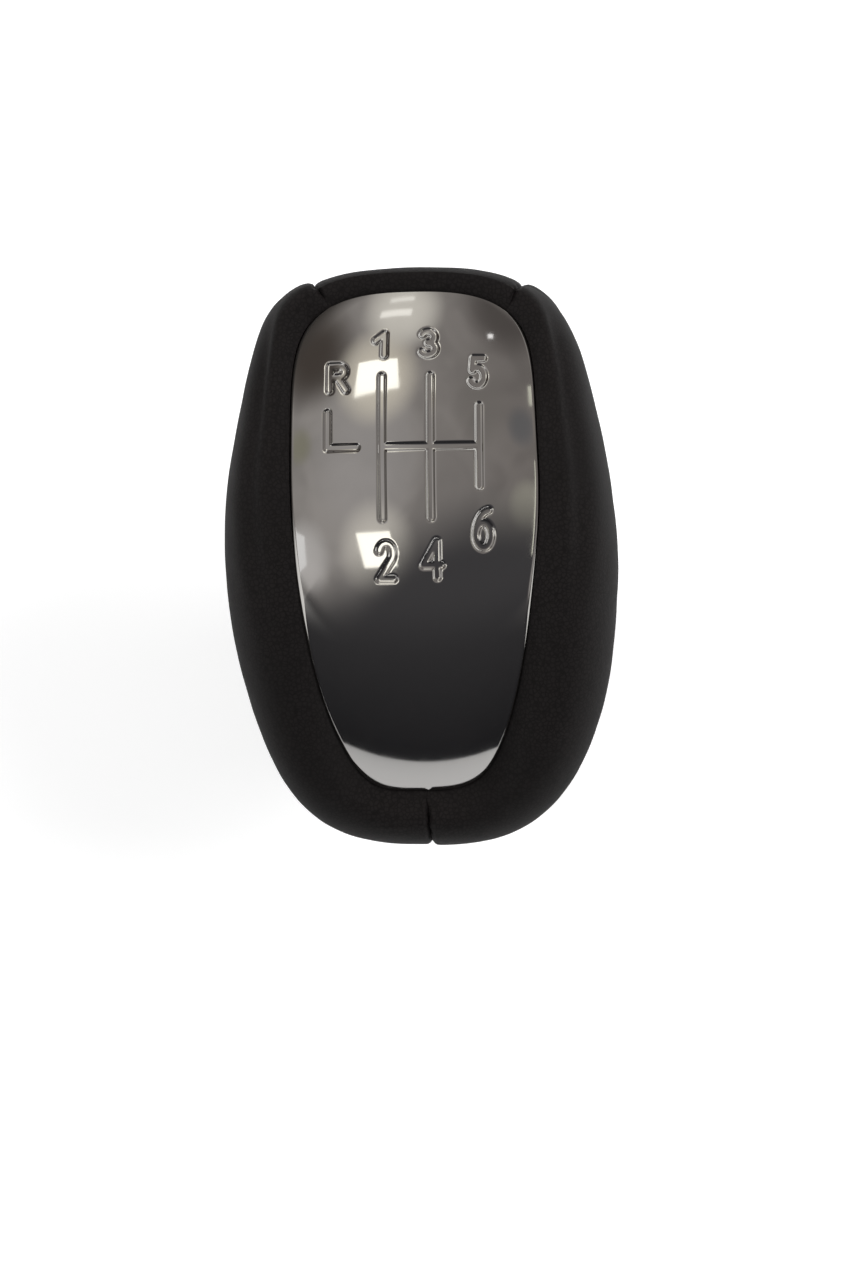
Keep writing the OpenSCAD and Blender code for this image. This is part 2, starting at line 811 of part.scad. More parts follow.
// Return spring, one wire swept along a helix with closed ends

spring_bottom = web_top + wire_d / 2;
spring_top = well_z - seat_t - wire_d / 2;
wire_sides = 6;
turn_steps = 14;
module return_spring() {
    count = spring_turns * turn_steps;
    // The end turns lie flat and close, and the rise is shared by the turns between them
    function lift(turn) =
        let(free = spring_turns - 2, t = min(max(turn - 1, 0), free) / free)
        spring_bottom + min(turn, 1) * wire_d + max(turn - 1 - free, 0) * wire_d
            + t * (spring_top - spring_bottom - 2 * wire_d);
    function ring(i) =
        let(turn = i / turn_steps, a = 360 * turn)
        [for (k = [0:wire_sides - 1])
            let(b = 360 * k / wire_sides, r = spring_r + wire_d / 2 * cos(b))
            [r * cos(a), r * sin(a), lift(turn) + wire_d / 2 * sin(b)]];
    points = flat([for (i = [0:count]) ring(i)]);
    faces = concat(
        flat([for (i = [0:count - 1]) for (k = [0:wire_sides - 1])
            let(n = (k + 1) % wire_sides, a = i * wire_sides, b = a + wire_sides)
            strip(a + k, b + k, b + n, a + n)]),
        [[for (k = [wire_sides - 1:-1:0]) k]],
        [[for (k = [0:wire_sides - 1]) count * wire_sides + k]]
    );
    color(bare_steel) polyhedron(points, faces, convexity = 12);
}

chrome_plate();
plate_push_nuts();
plate_carrier();
carrier_screws();
leather_front();
leather_left();
leather_right();
core_left();
core_right();
core_screws();
lever_sleeve();
lever_bush();
cross_pin();
neck_ring();
spring_seat();
return_spring();
lift_collar();
collar_bush();
buffer_ring();
collar_circlip();
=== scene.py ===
from math import atan, cos, pi, radians, sin, tan

import bmesh
import bpy
import numpy as np
from mathutils import Matrix, Vector


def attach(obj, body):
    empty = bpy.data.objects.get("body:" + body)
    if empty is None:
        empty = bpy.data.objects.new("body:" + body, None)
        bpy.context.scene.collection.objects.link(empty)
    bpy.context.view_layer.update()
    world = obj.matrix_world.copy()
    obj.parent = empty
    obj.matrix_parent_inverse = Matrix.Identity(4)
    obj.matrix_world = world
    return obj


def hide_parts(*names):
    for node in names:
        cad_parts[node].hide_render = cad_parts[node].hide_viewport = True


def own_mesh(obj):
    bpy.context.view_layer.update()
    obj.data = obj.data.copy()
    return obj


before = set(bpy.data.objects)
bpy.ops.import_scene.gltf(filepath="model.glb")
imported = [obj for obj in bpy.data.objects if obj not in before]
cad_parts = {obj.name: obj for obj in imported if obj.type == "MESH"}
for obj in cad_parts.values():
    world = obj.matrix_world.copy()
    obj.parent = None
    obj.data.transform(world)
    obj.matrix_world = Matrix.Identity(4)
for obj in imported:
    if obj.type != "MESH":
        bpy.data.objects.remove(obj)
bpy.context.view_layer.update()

# Sizes, as in the frame, in millimetres

MM = 0.001
HEAD_W, HEAD_FRONT, HEAD_REAR = 54.0, 40.5, 39.5
HEAD_Z, HEAD_TILT = 68.0, radians(15)
# How far the head's widest line lies below the plate's edge
SIDE_DROP, FRONT_DROP, REAR_DROP = 13.0, 6.0, 9.0
# Powers of an outline across and along the head, first ahead of its widest place and then behind it
HEAD_CURVE = (4.1, 1.8), (2.9, 2.0)

PLATE_W, PLATE_FRONT, PLATE_REAR, PLATE_SHIFT = 32.8, 24.6, 43.6, 12.0
PLATE_CURVE = (2.7, 5.5), (3.1, 1.8)
PLATE_T = 1.4
# The edge is bevelled first, steeper than the dome, and then rounded in steps
EDGE_W, BEVEL_W, BEVEL_TILT, EDGE_STEPS = 0.28, 0.18, radians(14), 6
# Where the plate is fuller than the frame's: by how much, and the middle and the spread of it
FULL_SIDE, FULL_SIDE_U, FULL_SIDE_L = 0.6, 10.0, 15.0
FULL_LEFT, FULL_LEFT_X, FULL_LEFT_W = 0.7, -7.5, 3.5
FULL_RIGHT, FULL_RIGHT_X, FULL_RIGHT_W = 0.9, 9.5, 4.5
FULL_REAR_U = -12.0
# Share of that fullness that the leather's inner edge follows, so that it stays outside the core
LEATHER_FOLLOW = 0.75
DOME_LONG_R, DOME_CROSS_R, DOME_H, DOME_SHIFT = 55.0, 42.0, 17.0, 7.0
PINS = (0, 31), (10, 8), (-10, 8), (0, -23)
PIN_R, PIN_REACH, PIN_ROOT = 1.5, 7.2, 0.2

LEATHER_T, LEATHER_GAP, PARED_SHARE = 1.4, 0.95, 0.33
BEAD_H, BEAD_W, BEAD_FOOT, TUCK = 0.9, 2.2, 1.4, 3.2
# Widest that the bead may be, as a share of the leather's border
BEAD_SHARE = 0.4
# How strongly the curves of the shoulder, the belly and the neck hold their direction
SHOULDER_PULL, BELLY_PULL, NECK_PULL = 0.62, 0.42, 0.3
# The soft lip leans over the carrier's rim until it meets the plate's rounded edge
LIP_OVER, LIP_FRONT, LIP_LOW = 1.6, 0.1, 0.85
SEAM_LEFT, SEAM_RIGHT = pi / 2 + radians(23.0), pi / 2 - radians(24.7)
REAR_SEAM = -pi / 2 + 0.013
# How far each front seam leans towards the middle on its way in to the plate
SEAM_LEAN = {SEAM_LEFT: 0.045, SEAM_RIGHT: -0.015}
NECK_R, NECK_Z = 20.0, 28.0

# Every angle round the head is taken from here, where each outline is found by halving
RAY_U, HALVINGS = 5.0, 28
HEAD = (
    Matrix.Translation((0, 0, HEAD_Z * MM))
    @ Matrix.Rotation(HEAD_TILT, 4, "X")
    @ Matrix.Scale(MM, 4)
)


# Shapes of the head

def smooth(low, high, value):
    """0 below low, 1 above high, with an even curve between."""
    t = np.clip((value - low) / (high - low), 0, 1)
    return t * t * (3 - 2 * t)


def hump(value, width):
    """1 at nought, fading evenly on both sides over a width."""
    return np.exp(-((value / width) ** 2))


def dome_w(x, u, down=0.0):
    """Height of the dome over a point of the head."""
    ring = DOME_LONG_R - DOME_CROSS_R + np.sqrt((DOME_CROSS_R - down) ** 2 - x * x)
    return DOME_H - DOME_LONG_R + np.sqrt(ring * ring - (u - DOME_SHIFT) ** 2)


def reach(angle, shift, half, front, rear, curve):
    """Distance from the middle of the head to a teardrop outline, found by halving."""
    low, high = np.zeros_like(angle), np.full_like(angle, HEAD_W)
    for _ in range(HALVINGS):
        mid = (low + high) / 2
        u = RAY_U - shift + mid * np.sin(angle)
        ahead = u >= 0
        n_x = np.where(ahead, curve[0][0], curve[1][0])
        n_u = np.where(ahead, curve[0][1], curve[1][1])
        far = np.abs(mid * np.cos(angle) / half) ** n_x
        far += np.abs(u / np.where(ahead, front, rear)) ** n_u
        high = np.where(far > 1, mid, high)
        low = np.where(far > 1, low, mid)
    return (low + high) / 2


def head_reach(angle):
    return reach(angle, 0, HEAD_W / 2, HEAD_FRONT, HEAD_REAR, HEAD_CURVE)


def frame_plate_reach(angle):
    return reach(angle, PLATE_SHIFT, PLATE_W / 2, PLATE_FRONT, PLATE_REAR, PLATE_CURVE)


def plate_reach(angle):
    """The plate is a little fuller than the frame's at its right side and its rear corners."""
    far = frame_plate_reach(angle)
    x, u = far * np.cos(angle), RAY_U + far * np.sin(angle)
    side = FULL_SIDE * hump(u - FULL_SIDE_U, FULL_SIDE_L) * np.clip(np.cos(angle), 0, 1)
    rear = FULL_LEFT * hump(x - FULL_LEFT_X, FULL_LEFT_W)
    rear += FULL_RIGHT * hump(x - FULL_RIGHT_X, FULL_RIGHT_W)
    return far + side + rear * smooth(0, FULL_REAR_U, u)


def leather_reach(angle):
    """The leather's inner edge, which follows most of the plate's fullness."""
    frame_far = frame_plate_reach(angle)
    return frame_far + LEATHER_FOLLOW * (plate_reach(angle) - frame_far)


def bezier(a, b, c, d, t):
    """Cubic curve from a to d, pulled towards b and c."""
    s = 1 - t
    return a * s**3 + 3 * b * s * s * t + 3 * c * s * t * t + d * t**3


def skin(angle, along, depth):
    """Leather skin at an angle round the head. along runs 0 to 1 down in the tuck beside the plate,
    to 2 over the bead, to 3 across the shoulder and to 4 down to the neck."""
    edge = leather_reach(angle)
    wide = head_reach(angle)
    wall = edge + LEATHER_GAP
    edge_w = dome_w(edge * np.cos(angle), RAY_U + edge * np.sin(angle))
    lengthwise = np.sin(angle) ** 4
    drop = SIDE_DROP * (1 - lengthwise)
    drop += np.where(np.sin(angle) > 0, FRONT_DROP, REAR_DROP) * lengthwise
    foot_r, foot_w = wall + depth, edge_w - BEAD_FOOT
    top_r = wall + np.minimum(BEAD_W, BEAD_SHARE * (wide - wall))
    top_w = edge_w + BEAD_H - LIP_LOW * smooth(0.3, -1, np.sin(angle)) - depth
    out_r, out_w = wide - depth, edge_w - drop

    tuck = np.clip(along, 0, 1)
    bead = np.clip(along - 1, 0, 1) * pi / 2
    across = np.clip(along - 2, 0, 1)
    w = edge_w - TUCK + (TUCK - BEAD_FOOT) * tuck + (top_w - foot_w) * np.sin(bead)
    lip = smooth(0.2, 0.5, along - 1) * (1 - smooth(0.5, 1, along - 1))
    r = foot_r + (top_r - foot_r) * (1 - np.cos(bead))
    over_plate = LIP_OVER + LIP_FRONT * smooth(0.2, 0.9, np.sin(angle)) - (plate_reach(angle) - edge)
    r -= over_plate * lip
    over = along > 2
    r = np.where(over, bezier(top_r, (top_r + out_r) / 2, out_r, out_r, across), r)
    shoulder_w = out_w + SHOULDER_PULL * (top_w - out_w)
    w = np.where(over, bezier(top_w, top_w, shoulder_w, out_w, across), w)
    x, u = r * np.cos(angle), RAY_U + r * np.sin(angle)

    # Down to the neck, whose axis leans forward in the head's frame
    down = np.clip(along - 3, 0, 1)
    neck_y, neck_z = NECK_R * np.sin(angle), NECK_Z - HEAD_Z
    neck_x = NECK_R * np.cos(angle)
    neck_u = neck_y * cos(HEAD_TILT) + neck_z * sin(HEAD_TILT)
    neck_w = -neck_y * sin(HEAD_TILT) + neck_z * cos(HEAD_TILT)
    out_x, out_u = out_r * np.cos(angle), RAY_U + out_r * np.sin(angle)
    span = np.sqrt((out_x - neck_x) ** 2 + (out_u - neck_u) ** 2 + (out_w - neck_w) ** 2)
    lean_u, lean_w = NECK_PULL * span * sin(HEAD_TILT), NECK_PULL * span * cos(HEAD_TILT)
    below = along > 3
    x = np.where(below, bezier(out_x, out_x, neck_x, neck_x, down), x)
    u = np.where(below, bezier(out_u, out_u, neck_u + lean_u, neck_u, down), u)
    w = np.where(below, bezier(out_w, out_w - BELLY_PULL * span, neck_w + lean_w, neck_w, down), w)
    return np.stack([x, u, w], axis=-1)


def outward(angle, along):
    """Unit normals of the skin."""
    step = 1e-3
    ahead = skin(angle, np.minimum(along + step, 4), 0) - skin(angle, np.maximum(along - step, 0), 0)
    aside = skin(angle + step, along, 0) - skin(angle - step, along, 0)
    normal = np.cross(ahead, aside)
    return normal / np.linalg.norm(normal, axis=-1, keepdims=True)


# Making pieces

def new_object(name, data):
    """An object in the scene."""
    made = bpy.data.objects.new(name, data)
    bpy.context.scene.collection.objects.link(made)
    return made


def finish_piece(bm, name, body="knob", nodes=(), material=None, to_part=HEAD):
    """Puts a mesh in its place as a piece that rides on a body."""
    bm.transform(to_part)
    mesh = bpy.data.meshes.new(name)
    bm.to_mesh(mesh)
    bm.free()
    mesh.polygons.foreach_set("use_smooth", [True] * len(mesh.polygons))
    mesh.materials.append(material)
    piece = new_object(name, mesh)
    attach(piece, body)
    if nodes:
        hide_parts(*nodes)
    return piece


def grid(bm, columns, rows):
    """A flat grid with its places across and along, from 0 to 1."""
    made = bmesh.ops.create_grid(bm, x_segments=columns, y_segments=rows, size=0.5)["verts"]
    places = np.array([v.co[:2] for v in made]) + 0.5
    return made, places[:, 0], places[:, 1]


def move(verts, points):
    """Puts each vertex at its own point."""
    for v, point in zip(verts, points):
        v.co = point


def rim(bm, verts):
    """Edges round the open border of a sheet."""
    mine = set(verts)
    return [e for e in bm.edges if e.is_boundary and e.verts[0] in mine]


CROWD_SAMPLES = 2001


def crowded(share, fine, ends, dense=4.0):
    """Spaces shares 0 to 1 closer together inside the stretches in fine, each a start and an end."""
    at = np.linspace(0, 1, CROWD_SAMPLES)
    density = np.ones_like(at)
    for start, stop in fine:
        density += (dense - 1) * smooth(start - ends, start, at) * (1 - smooth(stop, stop + ends, at))
    total = np.concatenate([[0], np.cumsum((density[1:] + density[:-1]) / 2)])
    return np.interp(share, total / total[-1], at)


# Materials

def linear(colour):
    """Linear red, green, blue and alpha of an sRGB hex colour."""
    parts = [int(colour[i : i + 2], 16) / 255 for i in (1, 3, 5)]
    return [c / 12.92 if c <= 0.04045 else ((c + 0.055) / 1.055) ** 2.4 for c in parts] + [1]


def add(tree, kind, feeds, **settings):
    """Adds a node with its settings; feeds gives each input a value or the socket that feeds it."""
    made = tree.nodes.new(kind)
    for name, value in settings.items():
        setattr(made, name, value)
    for name, value in feeds.items():
        if isinstance(value, bpy.types.NodeSocket):
            tree.links.new(value, made.inputs[name])
        else:
            made.inputs[name].default_value = value
    return made


def blank(name):
    """A new material's tree, its output, and the part's own coordinates in metres."""
    material = bpy.data.materials.new(name)
    material.use_nodes = True
    tree = material.node_tree
    tree.nodes.clear()
    output = add(tree, "ShaderNodeOutputMaterial", {})
    place = add(tree, "ShaderNodeTexCoord", {}).outputs["Object"]
    return material, tree, output, place


def per_mm(size):
    """Texture scale whose features come out at a size in millimetres."""
    return 1 / (size * MM)


def nappa_leather():
    """Pigmented nappa, drum-dyed and plated with a fine pebble: near black and matt, with darker
    creases between the pebbles. The real pebble, of 0.3 mm, is drawn at twice its size to show."""
    material, tree, output, place = blank("nappa_leather")
    pebble = add(tree, "ShaderNodeTexVoronoi", {"Vector": place, "Scale": per_mm(0.6), "Randomness": 0.9},
                 feature="DISTANCE_TO_EDGE")
    crease = add(tree, "ShaderNodeMapRange", {"Value": pebble.outputs["Distance"], "From Max": 0.2},
                 interpolation_type="SMOOTHSTEP")
    pores = add(tree, "ShaderNodeTexNoise", {"Vector": place, "Scale": per_mm(0.35), "Detail": 3.0})
    worn = add(tree, "ShaderNodeTexNoise", {"Vector": place, "Scale": per_mm(14), "Detail": 4.0,
                                            "Roughness": 0.6})
    tone = add(tree, "ShaderNodeValToRGB", {"Fac": worn.outputs["Fac"]})
    tone.color_ramp.elements[0].position, tone.color_ramp.elements[1].position = 0.3, 0.72
    tone.color_ramp.elements[0].color = linear("#191717")
    tone.color_ramp.elements[1].color = linear("#1f1c1c")
    colour = add(tree, "ShaderNodeMix", {"Factor": crease.outputs["Result"], "A": linear("#141212"),
                                         "B": tone.outputs["Color"]}, data_type="RGBA")
    gloss = add(tree, "ShaderNodeMapRange", {"Value": worn.outputs["Fac"], "To Min": 0.58, "To Max": 0.7})
    height = add(tree, "ShaderNodeMath", {0: pores.outputs["Fac"], 1: 0.35, 2: crease.outputs["Result"]},
                 operation="MULTIPLY_ADD")
    bump = add(tree, "ShaderNodeBump", {"Height": height.outputs["Value"], "Strength": 0.12,
                                        "Distance": 0.05 * MM})
    shader = add(tree, "ShaderNodeBsdfPrincipled", {
        "Base Color": colour.outputs["Result"], "Roughness": gloss.outputs["Result"],
        "Normal": bump.outputs["Normal"], "IOR": 1.46, "Specular IOR Level": 0.2})
    tree.links.new(shader.outputs["BSDF"], output.inputs["Surface"])
    return material


def polished_chrome():
    """Bright chrome on die-cast zinc, plated over a buffed surface: a warm grey mirror with a faint
    haze of wiping marks."""
    material, tree, output, place = blank("polished_chrome")
    haze = add(tree, "ShaderNodeTexNoise", {"Vector": place, "Scale": per_mm(9), "Detail": 5.0,
                                            "Roughness": 0.65, "Distortion": 0.6})
    gloss = add(tree, "ShaderNodeMapRange", {"Value": haze.outputs["Fac"], "From Min": 0.35,
                                             "From Max": 0.75, "To Min": 0.045, "To Max": 0.1})
    swirl = add(tree, "ShaderNodeTexNoise", {"Vector": place, "Scale": per_mm(6), "Detail": 1.0})
    bump = add(tree, "ShaderNodeBump", {"Height": swirl.outputs["Fac"], "Strength": 0.05,
                                        "Distance": 0.1 * MM})
    shader = add(tree, "ShaderNodeBsdfPrincipled", {
        "Base Color": linear("#c8c6c4"), "Metallic": 1.0, "Roughness": gloss.outputs["Result"],
        "Normal": bump.outputs["Normal"]})
    tree.links.new(shader.outputs["BSDF"], output.inputs["Surface"])
    return material


def moulded(name, dark, light, low, high, grain, depth, ior=1.5):
    """A moulded plastic or rubber whose mould left a fine matt texture."""
    material, tree, output, place = blank(name)
    cloud = add(tree, "ShaderNodeTexNoise", {"Vector": place, "Scale": per_mm(6), "Detail": 3.0})
    colour = add(tree, "ShaderNodeMix", {"Factor": cloud.outputs["Fac"], "A": linear(dark),
                                         "B": linear(light)}, data_type="RGBA")
    gloss = add(tree, "ShaderNodeMapRange", {"Value": cloud.outputs["Fac"], "To Min": low, "To Max": high})
    texture = add(tree, "ShaderNodeTexNoise", {"Vector": place, "Scale": per_mm(grain), "Detail": 2.0})
    bump = add(tree, "ShaderNodeBump", {"Height": texture.outputs["Fac"], "Strength": 0.3,
                                        "Distance": depth * MM})
    shader = add(tree, "ShaderNodeBsdfPrincipled", {
        "Base Color": colour.outputs["Result"], "Roughness": gloss.outputs["Result"],
        "Normal": bump.outputs["Normal"], "IOR": ior})
    tree.links.new(shader.outputs["BSDF"], output.inputs["Surface"])
    return material


def steel(name, dark, light, low, high, grain):
    """Turned or stamped steel: a satin metal with fine tool marks and cloudy plating."""
    material, tree, output, place = blank(name)
    cloud = add(tree, "ShaderNodeTexNoise", {"Vector": place, "Scale": per_mm(3), "Detail": 4.0})
    colour = add(tree, "ShaderNodeMix", {"Factor": cloud.outputs["Fac"], "A": linear(dark),
                                         "B": linear(light)}, data_type="RGBA")
    gloss = add(tree, "ShaderNodeMapRange", {"Value": cloud.outputs["Fac"], "To Min": low, "To Max": high})
    marks = add(tree, "ShaderNodeTexNoise", {"Vector": place, "Scale": per_mm(grain), "Detail": 2.0})
    bump = add(tree, "ShaderNodeBump", {"Height": marks.outputs["Fac"], "Strength": 0.15,
                                        "Distance": 0.02 * MM})
    shader = add(tree, "ShaderNodeBsdfPrincipled", {
        "Base Color": colour.outputs["Result"], "Metallic": 1.0, "Roughness": gloss.outputs["Result"],
        "Normal": bump.outputs["Normal"]})
    tree.links.new(shader.outputs["BSDF"], output.inputs["Surface"])
    return material


chrome = polished_chrome()
leather = nappa_leather()
black_abs = moulded("moulded_abs", "#161617", "#1e1e1f", 0.4, 0.52, 0.3, 0.02)
nylon = moulded("glass_filled_nylon", "#343536", "#444546", 0.5, 0.65, 0.5, 0.03, 1.53)
acetal = moulded("natural_acetal", "#dfddd2", "#e9e7de", 0.3, 0.4, 0.6, 0.01, 1.48)
rubber = moulded("nitrile_rubber", "#121212", "#1b1b1b", 0.7, 0.85, 0.25, 0.02, 1.52)
zinc = steel("zinc_plated_steel", "#a5a9ac", "#c5c8ca", 0.28, 0.42, 0.4)
spring_wire = steel("patented_spring_wire", "#7d7f81", "#97999b", 0.25, 0.38, 0.3)

FINISHES = {
    "chrome_plate": chrome,
    "plate_push_nuts": spring_wire,
    "plate_carrier": black_abs,
    "carrier_screws": zinc,
    "leather_front": leather,
    "leather_left": leather,
    "leather_right": leather,
    "core_left": nylon,
    "core_right": nylon,
    "core_screws": zinc,
    "lever_sleeve": zinc,
    "lever_bush": acetal,
    "cross_pin": zinc,
    "neck_ring": black_abs,
    "spring_seat": zinc,
    "return_spring": spring_wire,
    "lift_collar": black_abs,
    "collar_bush": acetal,
    "buffer_ring": rubber,
    "collar_circlip": spring_wire,
}
for node, finish in FINISHES.items():
    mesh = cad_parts[node].data
    mesh.materials.clear()
    mesh.materials.append(finish)


# Leather panels

# Depth and width of the groove beside a seam, on the front panel, beside it and at the rear
FRONT_DIP, FRONT_DIP_W, SIDE_DIP = 0.25, 1.7, 0.35
REAR_DIP, REAR_DIP_W = 0.3, 1.1
# The slit between two panels, where both turn in to their stitches
SLIT, SLIT_W = 0.48, 0.48
# Length of a stitch, how far it pulls the edge, and how far from the edge that shows
STITCH, STITCH_PULL, STITCH_W = 2.4, 0.1, 0.8
# The stuffed ends of the side panels stand proud: by how much, how far from the seam, and how wide
PILLOWS = {"left_panel": (1.1, 5.0, 5.0), "right_panel": (0.42, 3.8, 3.5)}
# The front panel is pulled flat between them
PULLED, PULLED_W, SUNK = 0.5, 13.0, 0.32
# Where the sides are slimmer: the place along the head, its length and how much
SLIM = {"left_panel": [(-21.5, 12, 0.95), (20, 8, 0.5)], "right_panel": [(21, 6, 0.3)], "front_panel": []}
# Stuffing that settled to the rear and the right
REAR_FULL, RIGHT_FULL = 0.6, 0.3
# A soft valley outside the lip and the rise after it: how deep, how far out, and how wide both are
VALLEY, VALLEY_OUT, RISE, RISE_OUT, VALLEY_W = 0.5, 2.3, 0.15, 4.6, 1.3
# Small creases where the hide was drawn round the lip: middle and spread across and along, slant, pitch
CREASES = [(18.2, 1.3, 7.0, 3.5, 0.25, 1.2), (-4.6, 2.2, -36.2, 1.4, 0.0, 0.9)]
CREASE_H, WRAP_H = 0.035, 0.04


def seam_at(angle, along):
    """Where a seam runs at each place along the skin: the front seams lean in towards the plate."""
    return angle - SEAM_LEAN.get(angle, 0) * (1 - smooth(1, 3, along))


def panel_grid(bm, start, stop, columns, rows):
    """A grid between two seams, closer at the seams and over the bead: its vertices, the two seams'
    angles, and each vertex's angle and place along the skin."""
    verts, share, down = grid(bm, columns, rows)
    share = crowded(share, [(0, 0.03), (0.97, 1)], 0.05)
    along = 4 * crowded(down, [(0.2, 0.55)], 0.1, 3.0)
    seams = [seam_at(start, along), seam_at(stop, along)]
    return verts, seams, seams[0] + (seams[1] - seams[0]) * share, along


def sewn(name, seams, points, along):
    """What the seams do to a panel: how far its skin rises, how deep the slit is, and how far the
    stitches pull it aside."""
    rise, slip, slit = np.zeros_like(along), np.zeros_like(along), np.zeros_like(along)
    shoulder = smooth(1.4, 2.6, along)
    for seam in seams:
        edge = skin(seam, along, 0)
        away = np.linalg.norm(points - edge, axis=1)
        run = np.linalg.norm(edge - skin(seam, np.full_like(along, 2.0), 0), axis=1)
        at_front = abs(sin(seam[0])) < 0.99
        if at_front:
            dip, dip_w = FRONT_DIP if name == "front_panel" else SIDE_DIP, FRONT_DIP_W
            parted = smooth(1.5, 1.9, along) - 0.6 * smooth(2.2, 2.8, along)
        else:
            dip, dip_w = REAR_DIP, REAR_DIP_W
            parted = smooth(1.7, 2, along)
        rise -= dip * np.clip(1 - away / dip_w, 0, 1) ** 2
        slit += SLIT * np.clip(1 - away / SLIT_W, 0, 1) * parted
        if name == "front_panel":
            rise -= PULLED * shoulder * hump(away, PULLED_W)
        elif at_front:
            proud, centre, spread = PILLOWS[name]
            rise += shoulder * proud * hump(away - centre, spread)
        stitched = np.sin(2 * pi * run / STITCH) * np.exp(-away / STITCH_W)
        rise -= 0.5 * STITCH_PULL * stitched
        slip += STITCH_PULL * stitched
    return rise, slit, slip


def wrapped(name, angle, along, points):
    """How far the stuffing and the wrapping by hand lift the skin of a panel."""
    shoulder = smooth(1.4, 2.6, along)
    beside = 0.0 if name == "front_panel" else smooth(-0.75, 0.1, np.sin(angle))
    crest = leather_reach(angle) + LEATHER_GAP + BEAD_W
    out = np.hypot(points[:, 0], points[:, 1] - RAY_U) - crest
    rise = RISE * hump(out - RISE_OUT, VALLEY_W) - VALLEY * hump(out - VALLEY_OUT, VALLEY_W)
    rise *= beside * (along < 3.0)
    x, u, w = points.T
    for x_at, x_w, u_at, u_w, slant, pitch in CREASES:
        ripple = np.sin(2 * pi * (u + slant * x) / pitch)
        rise += CREASE_H * hump(x - x_at, x_w) * hump(u - u_at, u_w) * ripple
    slow = np.sin(u * 0.31 + 1.3) * np.sin(x * 0.27 + w * 0.22 + 0.4)
    slow += 0.5 * np.sin(u * 0.9 + w * 0.7) * np.sin(x * 0.8 + 2.1)
    rise += WRAP_H * slow * shoulder
    for place, length, depth in SLIM[name]:
        rise -= depth * hump(u - place, length) * shoulder
    settled = REAR_FULL * smooth(0.3, 1, -np.sin(angle)) - SUNK * smooth(0.7, 1, np.sin(angle))
    return rise + shoulder * settled


def panel(name, start, stop, columns, rows):
    """One sewn panel between two angles round the head, as a closed sheet of leather."""
    bm = bmesh.new()
    outer, seams, angle, along = panel_grid(bm, start, stop, columns, rows)
    points = skin(angle, along, 0)
    normals = outward(angle, along)
    aside = np.stack([-np.sin(angle), np.cos(angle), np.zeros_like(angle)], axis=1)
    shown = smooth(1.5, 2.0, along)
    rise, slit, slip = sewn(name, seams, points, along)
    rise = (rise + wrapped(name, angle, along, points)) * shown - slit
    moved = points + normals * rise[:, None] + aside * (slip * shown)[:, None]
    moved[:, 0] += RIGHT_FULL * smooth(0.4, -0.3, np.sin(angle)) * smooth(1.4, 2.6, along)
    move(outer, moved)

    inner, seams, angle, along = panel_grid(bm, start, stop, columns, rows)
    room = head_reach(angle) - leather_reach(angle) - LEATHER_GAP
    pared = np.minimum(LEATHER_T, PARED_SHARE * room)
    lining = skin(angle, along, pared)
    full = pared + (LEATHER_T - pared) * np.clip((along - 3) * 2, 0, 1)
    deep = skin(angle, along, 0) - outward(angle, along) * full[:, None]
    move(inner, np.where((along > 3)[:, None], deep, lining))
    bmesh.ops.bridge_loops(bm, edges=rim(bm, outer) + rim(bm, inner))
    bmesh.ops.recalc_face_normals(bm, faces=bm.faces)
    node = "leather_" + name.removesuffix("_panel")
    finish_piece(bm, name, nodes=(node,), material=leather)


PANEL_ROWS, FRONT_COLUMNS, SIDE_COLUMNS = 130, 110, 290
panel("front_panel", SEAM_RIGHT, SEAM_LEFT, FRONT_COLUMNS, PANEL_ROWS)
panel("left_panel", SEAM_LEFT, REAR_SEAM + 2 * pi, SIDE_COLUMNS, PANEL_ROWS)
panel("right_panel", REAR_SEAM, SEAM_RIGHT, SIDE_COLUMNS, PANEL_ROWS)


# Return spring, drawn round where the frame has it with six sides

WIRE_D, SPRING_R, SPRING_TURNS, SPRING_LOW, SPRING_TOP = 1.2, 11.8, 8, 9.8, 40.0
WIRE_SIDES, TURN_STEPS = 12, 40


def wound_spring():
    """A coil spring whose first and last turns lie flat against their seats."""
    bm = bmesh.new()
    place = Matrix.Translation((SPRING_R, 0, SPRING_LOW + WIRE_D / 2)) @ Matrix.Rotation(pi / 2, 4, "X")
    end = bmesh.ops.create_circle(bm, segments=WIRE_SIDES, radius=WIRE_D / 2, matrix=place)["verts"]
    wire = end + list({e for v in end for e in v.link_edges})
    free = SPRING_TURNS - 2
    rise = SPRING_TOP - SPRING_LOW - 3 * WIRE_D
    for turns, climb in ((1, WIRE_D), (free, rise), (1, WIRE_D)):
        steps = TURN_STEPS * turns
        wire = bmesh.ops.spin(bm, geom=wire, cent=(0, 0, 0), axis=(0, 0, 1), dvec=(0, 0, climb / steps),
                              angle=2 * pi * turns, steps=steps, use_merge=False)["geom_last"]
    bmesh.ops.holes_fill(bm, edges=[e for e in bm.edges if e.is_boundary], sides=WIRE_SIDES)
    bmesh.ops.recalc_face_normals(bm, faces=bm.faces)
    made = finish_piece(bm, "wound_spring", nodes=("return_spring",),
                        material=spring_wire, to_part=Matrix.Scale(MM, 4))
    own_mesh(made)


wound_spring()


# Engraved plate

STROKE_R, STROKE_DEPTH = 0.62, 0.34
# The wall of a stroke starts this far inside its edge and ends this far outside it
WALL_IN, WALL_OUT = 0.34, 0.04
GATE_U, LANE_1, LANE_PITCH = 15.1, -3.8, 6.4
LANE_HALF, SHORT_HALF = 9.4, 5.3
REVERSE_X, REVERSE_L, REVERSE_FOOT = -11.1, 4.7, 3.9


def curve(x, y, wide, high, start, stop):
    """Points of an elliptical arc from one angle to another, in degrees."""
    turns = np.radians(np.linspace(start, stop, 2 + int(abs(stop - start) / 12)))
    return [(x + wide * cos(a), y + high * sin(a)) for a in turns]


